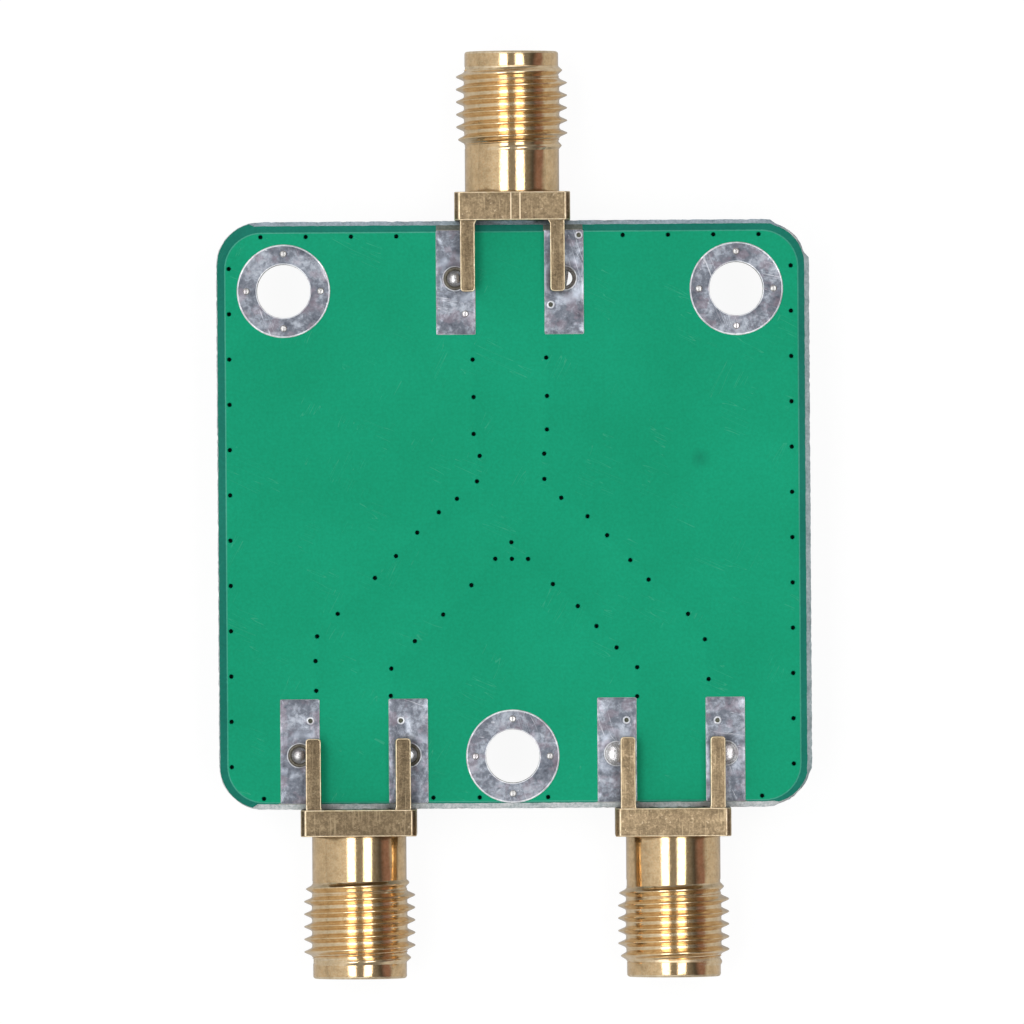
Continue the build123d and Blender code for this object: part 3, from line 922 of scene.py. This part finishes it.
def mound(bm, x, y, half_w, half_l, height):
    """Smooth heap of solder that hangs below the lines' face."""
    made = bmesh.ops.create_uvsphere(bm, u_segments=36, v_segments=20, radius=1)["verts"]
    for vert in made:
        rim = hypot(vert.co.x, vert.co.y)
        spread = 1.0 if rim < 1e-6 else (rim ** 0.8) / rim
        lift = -height * (1 - rim ** 2.2) if vert.co.z < 0 else 0.0
        vert.co = Vector((vert.co.x * spread * half_w, vert.co.y * spread * half_l, lift))
    bmesh.ops.translate(bm, vec=(x, y, LINE_FACE), verts=made)


print("solder lines of", len(PLUG), "and", len(FULL_PLUG), "points")

# %% Anchor solder
MOUND_Y = 13.9
MOUND = (0.98, 1.7, 0.75)           # half its width, half its length and its height
THIN_MOUND = (0.62, 1.7, 0.6)       # it leaves the open hole free
THIN_SHIFT = 0.35
for (port, side), pad in PADS.items():
    bm = bmesh.new()
    way = PORTS[port][1]
    hole = anchors[port, side]
    is_open = (port, side) == ("input", "right")
    is_full = port == "output_right"
    if is_open:
        spun(bm, VENT, 48, at(hole, FACE))
        mound(bm, pad.x - THIN_SHIFT, way * MOUND_Y, *THIN_MOUND)
    else:
        spun(bm, FULL_PLUG if is_full else PLUG, 48, at(hole, FACE), closed=False)
        mound(bm, pad.x, way * MOUND_Y, *MOUND)
    for face in bm.faces:
        middle = face.calc_center_median()
        in_moat = middle.z > FACE - 0.5 and (middle - hole).to_2d().length > FLUX_FROM
        face.material_index = 1 if in_moat and not is_open and not is_full else 0
    settle(bm, "solder_" + port + "_" + side, [solder, flux], "anchor_solder_" + port + "_" + side)

# %% [markdown]
# ## Solder on the contact tails
# The centre contact's tail lies on the end of its line under one neat mound. It is the same shape as above,
# only smaller, so the helper makes it too.

# %% Tail solder
TAIL_MOUND_Y = 14.2
TAIL_MOUND = (0.85, 1.4, 0.75)
for port, (spot, way) in PORTS.items():
    bm = bmesh.new()
    mound(bm, spot.x, way * TAIL_MOUND_Y, *TAIL_MOUND)
    settle(bm, "solder_tail_" + port, [solder], "tail_solder_" + port)

# %% [markdown]
# ## Flange and legs
# The square flange and its four legs were milled from the bar. A plate is filled between a square with cut
# corners and the round bore, then extruded. Each leg is a block with a flare at its root and a rounded tip.
# Every outer edge gets a small bevel, because on real metal it is that narrow face which draws the bright
# line.

# %% The flange
FLANGE_W, FLANGE_CUT = 6.5, 0.25
FLANGE_T = {"input": 1.6, "output_left": 1.5, "output_right": 1.6}
BORE_R = 2.05
EASE = 0.06


def flange(bm, thickness):
    """Square plate with cut corners and a round bore, which stands on the board's edge."""
    upright = Matrix.Rotation(radians(90), 4, "X")
    square = bmesh.ops.create_grid(bm, x_segments=1, y_segments=1, size=FLANGE_W / 2, matrix=upright)
    bmesh.ops.bevel(bm, geom=square["verts"], affect="VERTICES", offset=FLANGE_CUT, segments=1, profile=0.5,
                    material=-1)
    bmesh.ops.delete(bm, geom=bm.faces[:], context="FACES_ONLY")
    bmesh.ops.create_circle(bm, cap_ends=False, segments=72, radius=BORE_R, matrix=upright)
    fill(bm, bm.edges[:], normal=(0, -1, 0))
    made = bmesh.ops.extrude_face_region(bm, geom=bm.faces[:])
    bmesh.ops.translate(bm, vec=(0, thickness, 0), verts=new_verts(made))
    outer = [edge for edge in bm.edges if edge.calc_face_angle(0) > 0.5
             and all(hypot(vert.co.x, vert.co.z) > FLANGE_W / 2 - FLANGE_CUT for vert in edge.verts)]
    ease(bm, outer, EASE)


print("flange", FLANGE_W, "mm wide")

# %% The legs
LEG_X, LEG_L, LEG_H = 2.52, 4.0, 1.05
LEG_LOWS = (2.05, -0.60)            # underside of the legs behind the board and in front of it
LEG_W = {"input": 0.83, "output_left": 0.86, "output_right": 0.85}
FLARE = {"input": 0.16, "output_left": 0.05, "output_right": 0.05}
FLARE_L = 0.2
ROOT = 0.1                          # how far a leg runs on inside the flange
TIP_R = 0.2


def leg(bm, sign, low, width, flare):
    """Leg behind or in front of the board, from inside the flange back over its pad."""
    before = set(bm.verts)
    shape = Matrix.Translation((sign * LEG_X, (ROOT - LEG_L) / 2, low + LEG_H / 2)) \
        @ Matrix.Diagonal((width, LEG_L + ROOT, LEG_H, 1))
    block = bmesh.ops.create_cube(bm, size=1, matrix=shape)["verts"]
    edges = list({edge for vert in block for edge in vert.link_edges})
    bmesh.ops.bisect_plane(bm, geom=block + edges + list(faces_at(block)), dist=1e-5,
                           plane_co=(0, -FLARE_L, 0), plane_no=(0, 1, 0))
    made = added(bm.verts, before)
    for vert in made:
        if vert.co.y > 0 and vert.co.x * sign < LEG_X:
            vert.co.x -= sign * flare
    tips = [edge for edge in bm.edges if all(vert in made and vert.co.y < 0.01 - LEG_L for vert in edge.verts)
            and abs(edge.verts[0].co.z - edge.verts[1].co.z) > 0.1]
    bmesh.ops.bevel(bm, geom=tips, affect="EDGES", offset=TIP_R, segments=4, profile=0.5, material=-1,
                    clamp_overlap=True)
    edges = [edge for edge in bm.edges if edge.verts[0] not in before and edge.calc_face_angle(0) > 0.6
             and not all(vert.co.y > 0 for vert in edge.verts)]
    ease(bm, edges, EASE)


for port in PORTS:
    bm = bmesh.new()
    flange(bm, FLANGE_T[port])
    for sign in SIDES.values():
        for low in LEG_LOWS:
            leg(bm, sign, low, LEG_W[port], FLARE[port])
    settle(bm, "jack_flange_" + port, [SHADED_MILLED[port], worn_edge], "jack_body_" + port,
           sharp=25, place=port_frame(port))

# %% [markdown]
# ## Barrel and thread
# The barrel is turned: its outline is spun about the jack's axis, from the flange along the plain shank, the
# root of the thread and the nose, and back down inside the mouth. The CAD model has a plain cylinder where
# the thread is. Here a V-shaped section is spun through seven turns while it moves a pitch along the axis
# with each, which is what a lathe does, and it is then faded out at both ends, where the tool left the work.

# %% The thread's ridge
PITCH = 25.4 / 36
BASE_R = 2.58
RIDGE = [(0.0, 3.125), (0.022, 3.12), (0.05, 3.085), (0.19, 2.77), (0.225, 2.715), (0.275, 2.685),
         (0.356, 2.68)]
STEPS_PER_TURN = 60
RUN_IN, RUN_OUT = 1.25, 1.05        # turns over which it rises and falls


def ridge(bm, start, first_turn, turns):
    """Thread from a distance along the jack, a turn about its axis and a number of turns."""
    half = RIDGE + [(RIDGE[-1][0], BASE_R)]
    section = half + [(-along, radius) for along, radius in reversed(half) if along > 0]
    before = set(bm.verts)
    verts = [bm.verts.new((0, start + along, radius)) for along, radius in section]
    face = bm.faces.new(verts)
    bmesh.ops.rotate(bm, cent=(0, 0, 0), matrix=Matrix.Rotation(first_turn, 3, "Y"), verts=verts)
    bmesh.ops.spin(bm, geom=[face] + face.edges[:] + verts, cent=(0, 0, 0), axis=(0, 1, 0),
                   dvec=(0, PITCH / STEPS_PER_TURN, 0), angle=2 * pi * turns,
                   steps=round(turns * STEPS_PER_TURN), use_merge=False)
    return added(bm.verts, before)


def fade(verts, start, first_turn, turns):
    """Lowers the ridge at both ends. A vertex's turn follows from its angle and its distance."""
    for vert in verts:
        part = (atan2(vert.co.x, vert.co.z) - first_turn) / (2 * pi)
        turn = part + round((vert.co.y - start) / PITCH - part)
        level = min(1.0, max(0.0, turn / RUN_IN), max(0.0, (turns - turn) / RUN_OUT))
        radius = hypot(vert.co.x, vert.co.z)
        wanted = BASE_R + (radius - BASE_R) * level
        vert.co.x *= wanted / radius
        vert.co.z *= wanted / radius


print("thread pitch", round(PITCH, 3), "mm")

# %% Barrels
BARREL = [(2.06, 1.2), (2.6, 1.2), (2.65, 1.45), (2.65, 4.02), (2.63, 4.08), (2.63, 8.36), (2.61, 8.42),
          (2.61, 8.66), (2.635, 8.69), (2.635, 9.38), (2.59, 9.47), (2.52, 9.51), (2.36, 9.51), (2.30, 9.45),
          (2.30, 7.61), (2.06, 7.61)]
RELIEF = (8.37, 8.68)       # a softer groove where the thread's tool ran out, behind the nose
TIP_FROM, TIP_OUTSIDE = 9.4, 2.4
ALONG_JACK = Matrix.Rotation(radians(-90), 4, "X")
THREADS = {"input": (3.867, 270, 7.03), "output_left": (3.777, 90, 7.05), "output_right": (4.05, 61, 6.85)}
for port, (start, first_angle, turns) in THREADS.items():
    bm = bmesh.new()
    spun(bm, BARREL, 96, ALONG_JACK)
    plain = set(bm.faces)
    fade(ridge(bm, start, radians(first_angle), turns), start, radians(first_angle), turns)
    paint(added(bm.faces, plain), 1)
    for face in plain:
        middle = face.calc_center_median()
        in_groove = RELIEF[0] < middle.y < RELIEF[1]
        at_tip = middle.y > TIP_FROM and hypot(middle.x, middle.z) > TIP_OUTSIDE
        face.material_index = 2 if in_groove or at_tip else 0
    settle(bm, "jack_barrel_" + port, [turned, threaded, worn_edge], "jack_body_" + port,
           sharp=28, place=port_frame(port))

# %% [markdown]
# ## Centre contact
# The contact is turned from one pin. Its tail lies on the line, and its front is a tube that was slit so that
# it grips the mating pin. The solid part is spun from a line that ends on the axis. Each finger of the tube
# is a small section swept through a little under half a turn, which leaves the slit open.

# %% Contact
PIN = [(0.0, -3.4), (0.38, -3.4), (0.45, -3.33), (0.45, 0.0), (0.635, 0.0), (0.635, 5.26), (0.47, 5.26),
       (0.47, 4.61), (0.0, 4.61)]
FINGER = [(0.47, 5.21), (0.635, 5.21), (0.635, 7.42), (0.60, 7.51), (0.53, 7.51), (0.47, 7.44)]
SLIT_W, FINGER_R = 0.2, 0.55
for port in PORTS:
    bm = bmesh.new()
    spun(bm, PIN, 48, ALONG_JACK, closed=False)
    half_slit = SLIT_W / 2 / FINGER_R
    for flip in (0, pi):
        verts = [bm.verts.new((radius, along, 0)) for radius, along in FINGER]
        face = bm.faces.new(verts)
        bmesh.ops.rotate(bm, cent=(0, 0, 0), matrix=Matrix.Rotation(-half_slit + flip, 3, "Y"), verts=verts)
        bmesh.ops.spin(bm, geom=[face] + face.edges[:] + verts, cent=(0, 0, 0), axis=(0, 1, 0),
                       angle=-(pi - 2 * half_slit), steps=20, use_merge=False)
    settle(bm, "contact_pin_" + port, [contact_gold], "jack_contact_" + port,
           place=port_frame(port))

# %% [markdown]
# ## Pieces that the CAD already has right
# The insulators, the lines, the chips and their end caps and fillets have their true shapes in the CAD, so
# they stay. A CAD mesh is never changed, and only gets its finish.

# %% Finishes on the CAD nodes
CAD_FINISHES = {
    "jack_insulator_": fluoroplastic,
    "signal_line_": mask_on_copper,
    "star_junction": mask_on_copper,
    "resistor_caps_": cap_plate,
    "resistor_solder_": solder,
    "resistor_": chip_glaze,
}
for name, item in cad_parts.items():
    stem = next((stem for stem in CAD_FINISHES if name.startswith(stem)), None)
    if stem:
        item.data.materials.clear()
        item.data.materials.append(CAD_FINISHES[stem])
        print(name, "gets", CAD_FINISHES[stem].name)

# %% [markdown]
# ## Floor
# The object lies on white card with a faint tooth. The camera sees the card mostly by a light of its own,
# which the gold mirrors only weakly, or it would lose its dark bands. That is how a pale sweep looks in a
# light tent, and the rest of the card's look still keeps the object's shadow.

# %% Floor
FLOOR_HALF = 3.0
FLOOR_GAP = 0.00002         # in metres, so that the floor and the flanges' undersides don't share a plane
bm = bmesh.new()
bmesh.ops.create_grid(bm, x_segments=8, y_segments=8, size=FLOOR_HALF)
mesh = bpy.data.meshes.new("floor")
bm.to_mesh(mesh)
bm.free()
floor = bpy.data.objects.new("floor", mesh)
floor.location.z = -FLOOR_GAP
bpy.context.scene.collection.objects.link(floor)
card, card_shader, card_where = start_finish("white_card", Roughness=0.9, Specular_IOR_Level=0.1)
feed(card, card_shader, "Base Color", greys(card, cloud(card, card_where, 2.0, 3.0), 0.3, 0.7, 0.46, 0.50))
rays = node(card, "ShaderNodeLightPath").outputs
mirrored = times(card, rays["Is Glossy Ray"], 0.2)
seen = highest(card, rays["Is Camera Ray"], mirrored, rays["Is Transmission Ray"])
glow = node(card, "ShaderNodeEmission", {"Color": grey(1.0), "Strength": 1.16})
both = node(card, "ShaderNodeMixShader", {0: times(card, seen, 0.8), 1: card_shader.outputs[0],
                                          2: glow.outputs[0]})
feed(card, card.node_tree.nodes["Material Output"], "Surface", both.outputs[0])
floor.data.materials.append(card)
print("floor ready")

# %% [markdown]
# ## Light
# Two long soft boxes hang level over the object, one on either side of the camera. They draw the two white
# bands along each barrel. The dark studio shows between them and low on the right, and the pale left wall
# and the horizon fill the rest of the gold. The sky is a ramp over the direction's X, evened out to mid grey
# near the horizon.

# %% Lamps
def soft_box(name, x, width, power):
    """Rectangle of light that runs along Y, level over the object. Sizes are in metres."""
    lamp = bpy.data.lights.new(name, "AREA")
    lamp.shape = "RECTANGLE"
    lamp.size, lamp.size_y = width, 0.9
    lamp.energy = power
    box = bpy.data.objects.new(name, lamp)
    box.location = (x, 0, 0.8)
    box.visible_camera = False
    bpy.context.scene.collection.objects.link(box)


soft_box("box_left", -0.294, 0.296, 2.92)
soft_box("box_right", 0.302, 0.313, 3.09)

# %% Sky
RED_WALL = (0.29, 0.19, 0.18, 1.0)
world = bpy.data.worlds.new("studio")
bpy.context.scene.world = world
world.use_nodes = True
parts = axes(world, node(world, "ShaderNodeTexCoord").outputs["Generated"])
across = sums(world, "MULTIPLY_ADD", parts["X"], 0.5, 0.5)
walls = ramp(world, across, [
    (0.0, grey(0.58)), (0.05, grey(0.62)), (0.14, grey(0.74)), (0.24, grey(0.80)), (0.40, grey(0.26)),
    (0.50, grey(0.29)), (0.58, grey(0.26)), (0.76, grey(0.26)), (0.835, grey(0.20)), (0.895, grey(0.07)),
    (0.95, RED_WALL), (0.985, RED_WALL), (1.0, grey(0.45)),
])
horizon = greys(world, parts["Z"], 0.04, 0.12, 1.0, 0.0)
background = world.node_tree.nodes["Background"]
feed(world, background, "Color", mix(world, horizon, walls, grey(0.5)))
background.inputs["Strength"].default_value = 1.0
print("sky of", len(world.node_tree.nodes), "nodes")

# %% [markdown]
# ## Camera
# The photograph was taken from straight above. One millimetre on the board's face covers 17.83 pixels of the
# 1024, and the board is turned a third of a degree. The lens follows from that scale and the camera's height.

# %% Camera
PIXELS_PER_MM = 17.83
PHOTO_SIDE = 1024
CAMERA_HEIGHT = 1000.0
CAMERA_X, CAMERA_Y = -0.119, 0.138
TURN = 0.37
camera_data = bpy.data.cameras.new("camera")
camera_data.sensor_width = 36
camera_data.lens = PIXELS_PER_MM * CAMERA_HEIGHT * camera_data.sensor_width / PHOTO_SIDE
camera_data.clip_start, camera_data.clip_end = 0.01, 20
camera = bpy.data.objects.new("camera", camera_data)
camera.location = Vector((CAMERA_X, CAMERA_Y, FACE + 0.05 + CAMERA_HEIGHT)) * MM
camera.rotation_euler = (0, 0, radians(-TURN))
bpy.context.scene.collection.objects.link(camera)
bpy.context.scene.camera = camera
bpy.context.scene.view_settings.view_transform = "Standard"
print("lens", round(camera_data.lens, 1), "mm")
